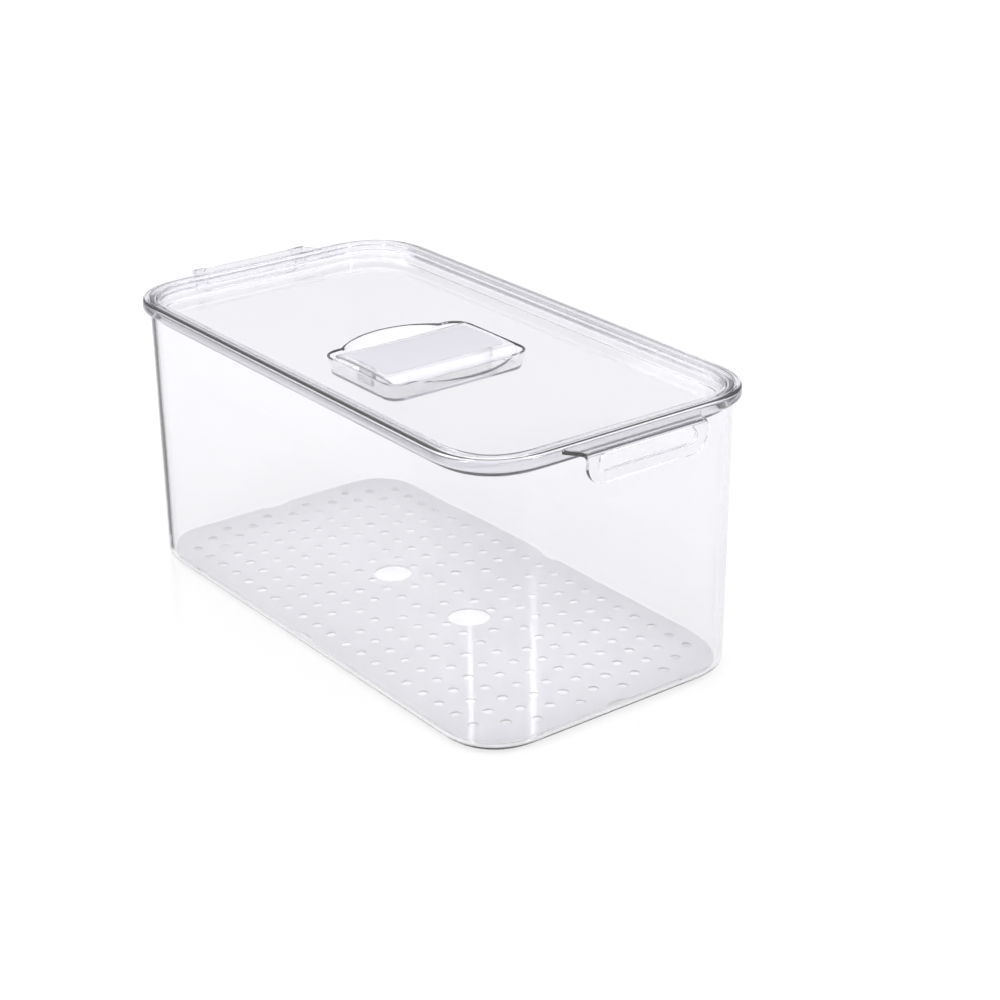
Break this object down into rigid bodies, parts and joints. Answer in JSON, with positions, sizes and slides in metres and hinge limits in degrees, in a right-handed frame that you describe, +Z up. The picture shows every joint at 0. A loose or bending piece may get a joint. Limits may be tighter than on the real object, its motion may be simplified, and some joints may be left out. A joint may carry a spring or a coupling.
{
  "type": "refrigerator storage bin with lid and drain tray",
  "caption": "Clear rectangular refrigerator bin with looped end handles, a lift-off lid with a sunken finger grip, and a perforated drain tray inside.",
  "frame": {"origin": "on the surface that the bin stands on, under its middle", "axes": "+X along the bin towards one handle, +Y across it, +Z up"},
  "size_m": [0.323, 0.164, 0.141],
  "materials": {
    "crystal_clear": "clear, polished",
    "lid_clear": "clear, polished",
    "grip_clear": "clear, polished",
    "frosted_tray": "frosted translucent",
    "label_grey": "plain pale grey"
  },
  "bodies": {
    "bin": {"bin_body": "crystal_clear"},
    "lid": {"lid": "lid_clear", "grip_plate": "grip_clear", "grip_label": "label_grey"},
    "tray": {"drain_tray": "frosted_tray"}
  },
  "joints": [
    {"name": "lid_lift", "type": "slide", "parent": "bin", "child": "lid", "axis": [0, 0, 1], "range_m": [0, 0.27]},
    {"name": "tray_lift", "type": "slide", "parent": "bin", "child": "tray", "axis": [0, 0, 1], "range_m": [0, 0.15]}
  ],
  "couplings": [
    {"joint": "tray_lift", "follows": "lid_lift", "ratio": 0.55}
  ]
}
